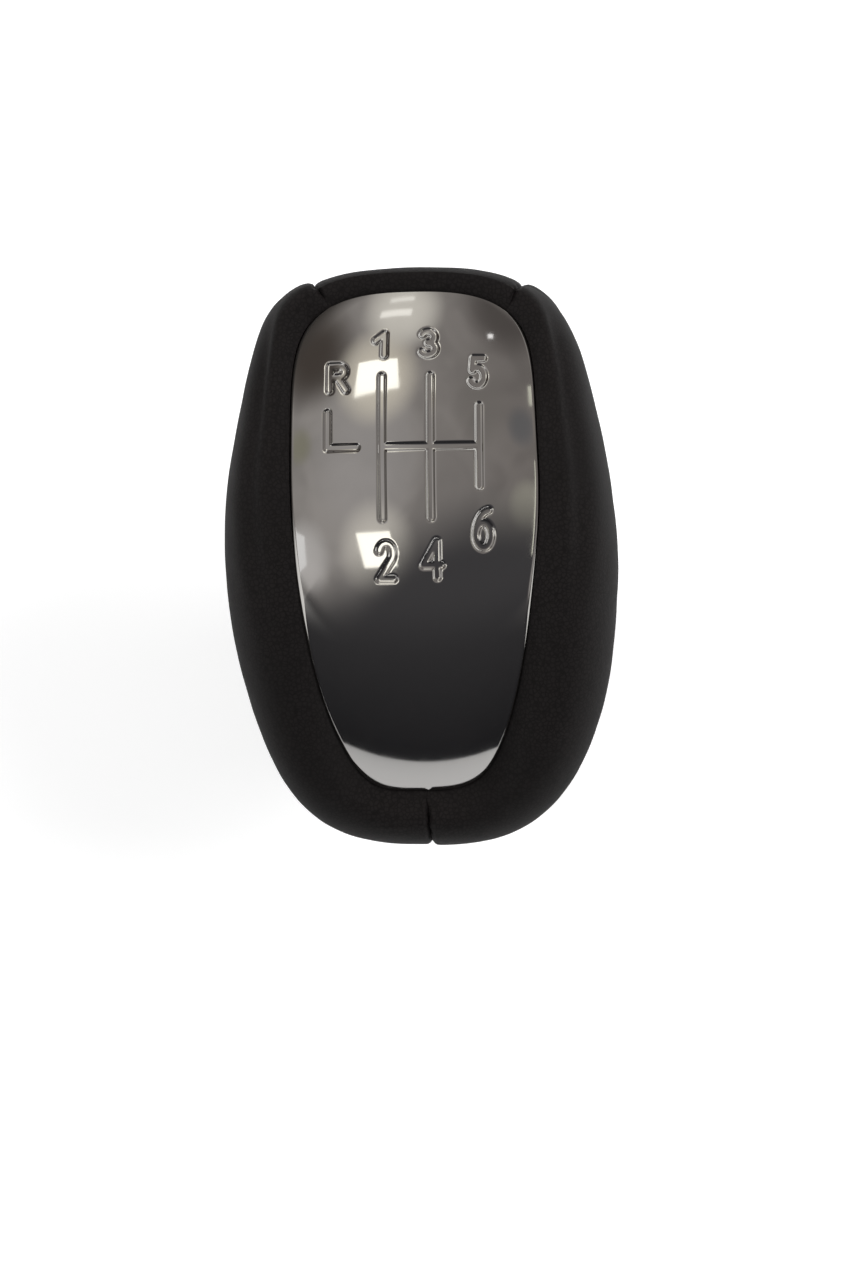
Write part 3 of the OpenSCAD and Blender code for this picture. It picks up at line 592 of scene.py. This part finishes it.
# Strokes of the figures, each in a box from 0 to 1
FIGURES = {
    "1": [[(0, 0.7), (1, 1), (1, 0)]],
    "2": [curve(0.5, 0.72, 0.5, 0.28, 165, -38) + [(0, 0), (1, 0)]],
    "3": [curve(0.47, 0.76, 0.45, 0.24, 150, -90) + curve(0.47, 0.26, 0.53, 0.26, 90, -150)],
    "4": [[(0.76, 0), (0.76, 1), (0, 0.34), (1, 0.34)]],
    "5": [[(0.93, 1), (0.15, 1), (0.08, 0.56)] + curve(0.44, 0.33, 0.56, 0.33, 118, -150)],
    "6": [curve(0.5, 0.33, 0.5, 0.33, 180, -180), curve(1.0, 0.33, 1.0, 0.67, 180, 98)],
    "R": [[(0, 0), (0, 1), (0.5, 1)] + curve(0.5, 0.76, 0.42, 0.24, 90, -90) + [(0, 0.52)],
          [(0.5, 0.52), (1, 0)]],
}
# Where each figure lies: left, right, bottom and top over its strokes
FIGURE_PLACES = {
    "1": (-5.3, -2.9, 26.8, 30.9),
    "3": (0.8, 3.9, 26.7, 31.1),
    "5": (7.4, 10.3, 22.5, 27.4),
    "R": (-11.45, -8.0, 22.2, 26.7),
    "2": (-5.0, -1.9, -2.9, 3.0),
    "4": (0.85, 4.45, -2.8, 3.2),
    "6": (7.75, 11.0, 1.0, 7.2),
}


def strokes():
    """Centre lines of everything that is engraved."""
    lanes = [LANE_1, LANE_1 + LANE_PITCH, LANE_1 + 2 * LANE_PITCH]
    lines = [[(x, GATE_U - half), (x, GATE_U + half)]
             for x, half in zip(lanes, (LANE_HALF, LANE_HALF, SHORT_HALF))]
    lines.append([(lanes[0], GATE_U), (lanes[2], GATE_U)])
    lines.append([(REVERSE_X, GATE_U + REVERSE_L), (REVERSE_X, GATE_U), (REVERSE_X + REVERSE_FOOT, GATE_U)])
    for figure, (left, right, bottom, top) in FIGURE_PLACES.items():
        for line in FIGURES[figure]:
            lines.append([
                (left + STROKE_R + (right - left - 2 * STROKE_R) * a,
                 bottom + STROKE_R + (top - bottom - 2 * STROKE_R) * b) for a, b in line])
    return lines


def engraving(x, u):
    """Depth of the strokes below the dome: a flat floor, steep walls and softened rims."""
    nearest = np.full_like(x, HEAD_W)
    for line in strokes():
        for (x0, u0), (x1, u1) in zip(line, line[1:]):
            long = max((x1 - x0) ** 2 + (u1 - u0) ** 2, 1e-9)
            t = np.clip(((x - x0) * (x1 - x0) + (u - u0) * (u1 - u0)) / long, 0, 1)
            nearest = np.minimum(nearest, np.hypot(x - x0 - t * (x1 - x0), u - u0 - t * (u1 - u0)))
    return STROKE_DEPTH * (1 - smooth(STROKE_R - WALL_IN, STROKE_R + WALL_OUT, nearest))


def plate_outline_u(x, ahead, inset):
    """How far forwards or back the plate's outline lies at a place across it."""
    n_x, n_u = PLATE_CURVE[0 if ahead else 1]
    reach_u = (PLATE_FRONT if ahead else PLATE_REAR) - inset
    rest = (1 - np.abs(x / (PLATE_W / 2 - inset)) ** n_x) ** (1 / n_u)
    return PLATE_SHIFT + (reach_u if ahead else -reach_u) * rest


def plate_half_width(u, inset):
    """Half the plate's width at a place along it."""
    ahead = u >= PLATE_SHIFT
    n_x = np.where(ahead, PLATE_CURVE[0][0], PLATE_CURVE[1][0])
    n_u = np.where(ahead, PLATE_CURVE[0][1], PLATE_CURVE[1][1])
    reach_u = np.where(ahead, PLATE_FRONT, PLATE_REAR) - inset
    rest = np.clip(1 - np.abs((u - PLATE_SHIFT) / reach_u) ** n_u, 0, 1)
    return (PLATE_W / 2 - inset) * rest ** (1 / n_x)


def plate_out(x, u):
    """Direction out across the plate's outline."""
    ahead = u >= PLATE_SHIFT
    n_x, n_u = PLATE_CURVE[0 if ahead else 1]
    far = PLATE_FRONT if ahead else PLATE_REAR
    half = PLATE_W / 2
    v = (u - PLATE_SHIFT) / far
    slope = Vector((n_x * abs(x / half) ** (n_x - 1) / half * (1 if x > 0 else -1),
                    n_u * abs(v) ** (n_u - 1) / far * (1 if v > 0 else -1)))
    return slope.normalized()


# Half the distance between the corners of the face's grid, at the front and at the rear
CORNER_FRONT_X, CORNER_REAR_X = 11.0, 7.0
FACE_GRID, UNDER_GRID = (190, 330), (40, 70)


def plate_sheet(bm, columns, rows, down, engraved):
    """The plate's face inside its rounded edge. Its grid is closer where the engraving is."""
    verts, a, b = grid(bm, columns, rows)
    if engraved:
        a = crowded(a, [(0.11, 0.86)], 0.08, 2.6)
        b = crowded(b, [(0.41, 0.96)], 0.08, 3.6)
    front_u = plate_outline_u(np.array(CORNER_FRONT_X), True, EDGE_W)
    rear_u = plate_outline_u(np.array(CORNER_REAR_X), False, EDGE_W)
    side_u = rear_u + (front_u - rear_u) * b
    x = (2 * a - 1) * plate_half_width(side_u, EDGE_W)
    u = side_u + b**3 * (plate_outline_u((2 * a - 1) * CORNER_FRONT_X, True, EDGE_W) - front_u)
    u += (1 - b) ** 3 * (plate_outline_u((2 * a - 1) * CORNER_REAR_X, False, EDGE_W) - rear_u)
    far, angle = np.hypot(x, u - RAY_U), np.arctan2(u - RAY_U, x)
    frame_far = frame_plate_reach(angle)
    fuller = (plate_reach(angle) - frame_far) * smooth(0.72, 0.98, far / frame_far)
    grown = 1 + fuller / np.maximum(far, 1)
    x, u = x * grown, RAY_U + (u - RAY_U) * grown
    w = dome_w(x, u, down)
    if engraved:
        w -= engraving(x, u)
    move(verts, np.stack([x, u, w], axis=1))
    return verts


def edge_step(x, u, step):
    """How far out and down the plate's edge is after a step from its face. The bevel's extra tilt
    fades where the dome itself is steep."""
    near = 0.05
    out = plate_out(x, u) * near
    slope = (float(dome_w(x, u)) - float(dome_w(x + out.x, u + out.y))) / near
    if step == 0:
        return 0, 0
    tilt = atan(slope) + BEVEL_TILT * float(1 - smooth(0.6, 0.85, slope))
    turn = tilt + (pi / 2 - tilt) * (step - 1) / (EDGE_STEPS - 1)
    radius = (EDGE_W - BEVEL_W) / (1 - sin(tilt))
    return (BEVEL_W + radius * (sin(turn) - sin(tilt)),
            BEVEL_W * tan(tilt) + radius * (cos(tilt) - cos(turn)))


def engraved_plate():
    """The plate with its engraved face, bevelled and rounded edge, plain underside and four pins."""
    bm = bmesh.new()
    face = plate_sheet(bm, *FACE_GRID, 0, True)
    edges = rim(bm, face)
    for step in range(EDGE_STEPS):
        made = bmesh.ops.extrude_edge_only(bm, edges=edges)["geom"]
        edges = [g for g in made if isinstance(g, bmesh.types.BMEdge)]
        for v in {v for e in edges for v in e.verts}:
            before, after = edge_step(v.co.x, v.co.y, step), edge_step(v.co.x, v.co.y, step + 1)
            out = plate_out(v.co.x, v.co.y) * (after[0] - before[0])
            v.co += Vector((out.x, out.y, before[1] - after[1]))
    made = bmesh.ops.extrude_edge_only(bm, edges=edges)["geom"]
    edges = [g for g in made if isinstance(g, bmesh.types.BMEdge)]
    for v in {v for e in edges for v in e.verts}:
        v.co.z = float(dome_w(v.co.x, v.co.y)) - PLATE_T
    under = plate_sheet(bm, *UNDER_GRID, PLATE_T, False)
    bmesh.ops.bridge_loops(bm, edges=edges + rim(bm, under))
    for x, u in PINS:
        middle = dome_w(x, u, PLATE_T) - PIN_REACH / 2 + PIN_ROOT
        bmesh.ops.create_cone(bm, cap_ends=True, segments=32, radius1=PIN_R, radius2=PIN_R, depth=PIN_REACH,
                              matrix=Matrix.Translation((x, u, middle)))
    bmesh.ops.recalc_face_normals(bm, faces=bm.faces)
    finish_piece(bm, "engraved_plate", nodes=("chrome_plate",), material=chrome)


engraved_plate()


# Camera, as the photograph has it

CAMERA_FAR, CAMERA_ASIDE, CAMERA_ROLL, LENS = 350.0, radians(3.5), radians(-0.9), 71.3
camera_at = Vector((sin(CAMERA_ASIDE), 0, cos(CAMERA_ASIDE))) * CAMERA_FAR
aim = Vector((0.55, -10.9, 0))
camera = bpy.data.cameras.new("camera")
camera.lens, camera.sensor_width = LENS, 36
camera_piece = new_object("camera", camera)
back = (camera_at - aim).normalized()
side = Vector((0, 1, 0)).cross(back).normalized()
facing = Matrix((side, back.cross(side), back)).transposed()
turn = HEAD.to_3x3().normalized() @ facing @ Matrix.Rotation(CAMERA_ROLL, 3, "Z")
camera_piece.matrix_world = Matrix.Translation(HEAD @ camera_at) @ turn.to_4x4()
bpy.context.scene.camera = camera_piece


# Floor, light and what the mirror sees

def stage_sheet(name, corners, material):
    """A four-cornered sheet that isn't part of the object."""
    bm = bmesh.new()
    made = bmesh.ops.create_grid(bm, x_segments=1, y_segments=1, size=0.5)["verts"]
    for v in made:
        v.co = corners[2 * (v.co.y > 0) + (v.co.x > 0)]
    mesh = bpy.data.meshes.new(name)
    bm.to_mesh(mesh)
    bm.free()
    mesh.materials.append(material)
    sheet = new_object(name, mesh)
    return sheet


def only_mirrored(sheet):
    """Shows a sheet in mirrors alone: it casts no light or shadow on the object."""
    sheet.visible_camera = sheet.visible_diffuse = sheet.visible_shadow = False


def floor_paper():
    """White paper sweep: it takes the shadow, and shows as white."""
    material, tree, output, place = blank("white_paper")
    seen = add(tree, "ShaderNodeLightPath", {})
    far = add(tree, "ShaderNodeVectorMath", {0: place}, operation="LENGTH").outputs["Value"]
    white = add(tree, "ShaderNodeMapRange", {"Value": far, "From Min": 0.4, "From Max": 1.4, "To Min": 0.5,
                                             "To Max": 1.0})
    lift = add(tree, "ShaderNodeMath", {0: seen.outputs["Is Camera Ray"], 1: white.outputs["Result"]},
               operation="MULTIPLY")
    shader = add(tree, "ShaderNodeBsdfPrincipled", {
        "Base Color": linear("#e2e2e2"), "Roughness": 0.9, "Specular IOR Level": 0.1,
        "Emission Color": linear("#ffffff"), "Emission Strength": lift.outputs["Value"]})
    tree.links.new(shader.outputs["BSDF"], output.inputs["Surface"])
    return material


FLOOR = 2.5
stage_sheet("floor", [Vector((x, y, 0)) for y in (-FLOOR, FLOOR) for x in (-FLOOR, FLOOR)], floor_paper())


def card_material(name, colour, strength):
    """An evenly lit card."""
    material, tree, output, _ = blank(name)
    glow = add(tree, "ShaderNodeEmission", {"Color": linear(colour), "Strength": strength})
    tree.links.new(glow.outputs["Emission"], output.inputs["Surface"])
    return material


def mirror_ray(x, u):
    """Place on the plate, and the way from there to what the camera sees mirrored in it."""
    step = 0.01
    at = Vector((x, u, dome_w(x, u)))
    slope_x = (dome_w(x + step, u) - dome_w(x - step, u)) / (2 * step)
    slope_u = (dome_w(x, u + step) - dome_w(x, u - step)) / (2 * step)
    normal = Vector((-slope_x, -slope_u, 1)).normalized()
    view = (camera_at - at).normalized()
    return HEAD @ at, (HEAD.to_3x3() @ (2 * normal.dot(view) * normal - view)).normalized()


def card(name, corners, colour, strength, far=0.9):
    """A lit card whose mirror image fills four places of the plate: rear left, rear right, front left
    and front right, in millimetres on it."""
    rays = [mirror_ray(x, u) for x, u in corners]
    hung = [at + way * far for at, way in rays]
    only_mirrored(stage_sheet(name, hung, card_material(name, colour, strength)))


card("window_front", [(-7.5, 21.7), (-1.5, 22.9), (-6.9, 26.4), (-1.7, 26.9)], "#fffdf2", 2.0)
card("window_rear", [(-6.3, -0.8), (-1.9, -0.6), (-7.4, 3.8), (-2.9, 4.0)], "#fffdf2", 2.0)
card("strip_low", [(-4.2, 32.5), (0.0, 32.8), (-3.9, 33.4), (0.2, 33.7)], "#fffdf6", 1.4)
card("strip_mid", [(-2.9, 34.6), (0.4, 34.9), (-2.7, 35.2), (0.5, 35.5)], "#fffdf6", 1.3)
card("strip_high", [(-1.9, 36.2), (0.9, 36.2), (-1.8, 36.6), (0.9, 36.6)], "#fffdf6", 1.0)
card("spot_right", [(10.2, 29.5), (10.9, 29.5), (10.2, 30.1), (10.9, 30.1)], "#ffffff", 1.5)
card("side_window_high", [(15.6, 20.4), (17.2, 20.4), (15.4, 23.0), (16.9, 23.0)], "#fbfbea", 0.8)
card("side_window_mid", [(16.1, 6.5), (17.5, 6.5), (16.3, 13.0), (17.5, 13.0)], "#fbfbea", 0.9)
card("side_window_low", [(15.7, 0.5), (17.3, 0.5), (16.1, 6.5), (17.5, 6.5)], "#fbfbea", 0.9)
card("side_window_left", [(-15.9, -1.9), (-14.2, -0.3), (-16.6, 4.8), (-14.4, 3.5)], "#ffffff", 1.0)

# The dark side of the room stands on the floor, so that the floor before it shows in the plate's rear
DARK_Y, DARK_HALF, DARK_FADE, DARK_TOP = -0.58, 0.8, 0.4, 0.9
CURTAIN_LOW, CURTAIN_HIGH = "#242426", "#4a494b"


def dark_cloth():
    """Black curtain, lighter towards its top, where it fades out."""
    material, tree, output, place = blank("dark_cloth")
    height = add(tree, "ShaderNodeSeparateXYZ", {"Vector": place}).outputs["Z"]
    tone = add(tree, "ShaderNodeValToRGB", {"Fac": height})
    tone.color_ramp.elements[1].position = DARK_TOP
    tone.color_ramp.elements[0].color = linear(CURTAIN_LOW)
    tone.color_ramp.elements[1].color = linear(CURTAIN_HIGH)
    glow = add(tree, "ShaderNodeEmission", {"Color": tone.outputs["Color"]})
    clear = add(tree, "ShaderNodeBsdfTransparent", {})
    gone = add(tree, "ShaderNodeMapRange", {"Value": height, "From Min": DARK_FADE, "From Max": DARK_TOP},
               interpolation_type="SMOOTHSTEP")
    faded = add(tree, "ShaderNodeMixShader", {0: gone.outputs["Result"], 1: glow.outputs["Emission"],
                                              2: clear.outputs["BSDF"]})
    tree.links.new(faded.outputs["Shader"], output.inputs["Surface"])
    return material


curtain = [Vector((x, DARK_Y, z)) for z in (0, DARK_TOP) for x in (-DARK_HALF, DARK_HALF)]
only_mirrored(stage_sheet("dark_side", curtain, dark_cloth()))

# Soft light and shade on the walls, each by its place and radius on the plate, its colour and its share
SOFT_PATCHES = [
    (-6.0, 14.0, 12.0, "#b9b6b5", 0.6),
    (-13.0, 27.5, 8.5, "#4a433e", 0.95),
    (-4.5, 24.5, 7.5, "#fbf4e2", 0.75),
    (-1.1, 33.4, 6.0, "#fdfaf0", 0.8),
    (-4.6, 1.6, 7.5, "#f2eee4", 0.75),
    (-14.5, 0.5, 6.0, "#e8e6e4", 0.6),
    (12.5, 33.0, 7.0, "#514c4a", 0.8),
    (9.5, 20.0, 6.0, "#87837f", 0.5),
    (14.6, 17.5, 3.2, "#6a6c70", 0.7),
    (-14.9, 15.4, 3.0, "#8b8b6c", 0.5),
    (6.0, 9.0, 8.0, "#8d8987", 0.5),
    (12.0, 4.0, 6.0, "#a09c97", 0.6),
    (15.2, 7.0, 4.2, "#c4c2b4", 0.65),
]

# Ways from the part to the curtain and to the wall at its left
CURTAIN_WAY, LEFT_WAY = (0.3, -0.93, 0.22), (-0.85, 0.52, 0)
WALL_LEFT, WALL_RIGHT, FURNITURE = "#a6a29f", "#888380", "#4a4643"
# Dark furniture and bright doors from the floor up: the height of each and its colour
BANDS = [(0.05, "#1c1b1a"), (0.12, "#f8f7f4"), (0.38, "#f8f7f4"), (0.42, "#2c2a29"), (0.46, "#3a3837"),
         (0.5, WALL_LEFT)]


def painted_walls(tree, heading, across):
    """Grey walls, blotched, with the soft patches, and darker behind the curtain's top."""
    sweep = add(tree, "ShaderNodeMapRange", {"Value": across, "From Min": -0.5, "From Max": 0.6})
    walls = add(tree, "ShaderNodeMix", {"Factor": sweep.outputs["Result"], "A": linear(WALL_LEFT),
                                        "B": linear(WALL_RIGHT)}, data_type="RGBA")
    uneven = add(tree, "ShaderNodeTexNoise", {"Vector": heading, "Scale": 3.2, "Detail": 2.0,
                                              "Distortion": 0.8})
    blotch = add(tree, "ShaderNodeMapRange", {"Value": uneven.outputs["Fac"], "From Min": 0.3,
                                              "From Max": 0.7, "To Min": 0.82, "To Max": 1.12})
    painted = add(tree, "ShaderNodeVectorMath", {
        0: walls.outputs["Result"], "Scale": blotch.outputs["Result"]}, operation="SCALE").outputs["Vector"]
    for x, u, radius, colour, share in SOFT_PATCHES:
        way, edge_way = mirror_ray(x, u)[1], mirror_ray(x, u - radius)[1]
        near = add(tree, "ShaderNodeVectorMath", {0: heading, 1: way}, operation="DOT_PRODUCT")
        soft = add(tree, "ShaderNodeMapRange", {
            "Value": near.outputs["Value"], "From Min": way.dot(edge_way), "From Max": 1.0,
            "To Max": share}, interpolation_type="SMOOTHSTEP")
        painted = add(tree, "ShaderNodeMix", {"Factor": soft.outputs["Result"], "A": painted,
                                              "B": linear(colour)}, data_type="RGBA").outputs["Result"]
    toward = add(tree, "ShaderNodeVectorMath", {0: heading, 1: CURTAIN_WAY}, operation="DOT_PRODUCT")
    shade = add(tree, "ShaderNodeMapRange", {"Value": toward.outputs["Value"], "From Min": 0.38,
                                             "From Max": 0.72}, interpolation_type="SMOOTHSTEP")
    return add(tree, "ShaderNodeMix", {"Factor": shade.outputs["Result"], "A": painted,
                                       "B": linear(CURTAIN_HIGH)}, data_type="RGBA").outputs["Result"]


def low_bands(tree, heading, across, height):
    """Furniture and doors, which only the engraving and the rims mirror. The left has furniture only."""
    level = add(tree, "ShaderNodeMath", {0: across, 1: 0.1, 2: height}, operation="MULTIPLY_ADD")
    bands = add(tree, "ShaderNodeValToRGB", {"Fac": level.outputs["Value"]})
    elements = bands.color_ramp.elements
    for element, (position, colour) in zip(elements, BANDS[:2]):
        element.position, element.color = position, linear(colour)
    for position, colour in BANDS[2:]:
        elements.new(position).color = linear(colour)
    leftward = add(tree, "ShaderNodeVectorMath", {0: heading, 1: LEFT_WAY}, operation="DOT_PRODUCT")
    closed = add(tree, "ShaderNodeMapRange", {"Value": leftward.outputs["Value"], "From Min": 0.6,
                                              "From Max": 0.7})
    return add(tree, "ShaderNodeMix", {"Factor": closed.outputs["Result"], "A": bands.outputs["Color"],
                                       "B": linear(FURNITURE)}, data_type="RGBA").outputs["Result"]


def studio():
    """White for the camera, soft daylight for the object, and a room for mirrors to show."""
    room = bpy.data.worlds.new("studio")
    bpy.context.scene.world = room
    room.use_nodes = True
    tree = room.node_tree
    tree.nodes.clear()
    seen = add(tree, "ShaderNodeLightPath", {})
    heading = add(tree, "ShaderNodeTexCoord", {}).outputs["Generated"]
    sides = add(tree, "ShaderNodeSeparateXYZ", {"Vector": heading})
    across, height = sides.outputs["X"], sides.outputs["Z"]
    walls = painted_walls(tree, heading, across)
    low = add(tree, "ShaderNodeMapRange", {"Value": height, "From Min": 0.46, "From Max": 0.54,
                                           "To Min": 1.0, "To Max": 0.0})
    front = add(tree, "ShaderNodeMapRange", {"Value": sides.outputs["Y"], "From Min": -0.75,
                                             "From Max": -0.55})
    banded = add(tree, "ShaderNodeMath", {0: low.outputs["Result"], 1: front.outputs["Result"]},
                 operation="MULTIPLY")
    furnished = add(tree, "ShaderNodeMix", {
        "Factor": banded.outputs["Value"], "A": walls, "B": low_bands(tree, heading, across, height)},
        data_type="RGBA")
    mirror_view = add(tree, "ShaderNodeBackground", {"Color": furnished.outputs["Result"], "Strength": 1.0})
    # Brighter towards the walls than overhead, where the camera stands
    overhead = add(tree, "ShaderNodeMapRange", {"Value": height, "From Min": 0.2, "From Max": 0.95,
                                                "To Min": 0.7, "To Max": 0.15})
    daylight = add(tree, "ShaderNodeBackground", {"Color": linear("#ffffff"),
                                                  "Strength": overhead.outputs["Result"]})
    backdrop = add(tree, "ShaderNodeBackground", {"Color": linear("#ffffff"), "Strength": 1.0})
    lit = add(tree, "ShaderNodeMixShader", {0: seen.outputs["Is Glossy Ray"], 1: daylight.outputs[0],
                                            2: mirror_view.outputs[0]})
    shown = add(tree, "ShaderNodeMixShader", {0: seen.outputs["Is Camera Ray"], 1: lit.outputs[0],
                                              2: backdrop.outputs[0]})
    add(tree, "ShaderNodeOutputWorld", {"Surface": shown.outputs[0]})


studio()


def lamp(name, at, size, power):
    """A soft lamp that looks at the head."""
    light = bpy.data.lights.new(name, "AREA")
    light.size, light.energy = size, power
    piece = new_object(name, light)
    target = Vector((0, 0, HEAD_Z * MM))
    piece.location = at
    piece.rotation_euler = (target - Vector(at)).to_track_quat("-Z", "Y").to_euler()
    piece.visible_glossy = False


lamp("key_lamp", (-0.9, 0.4, 0.7), 0.6, 7)
lamp("fill_lamp", (0.8, 0.1, 0.85), 0.6, 9)

bpy.context.scene.view_settings.view_transform = "Standard"
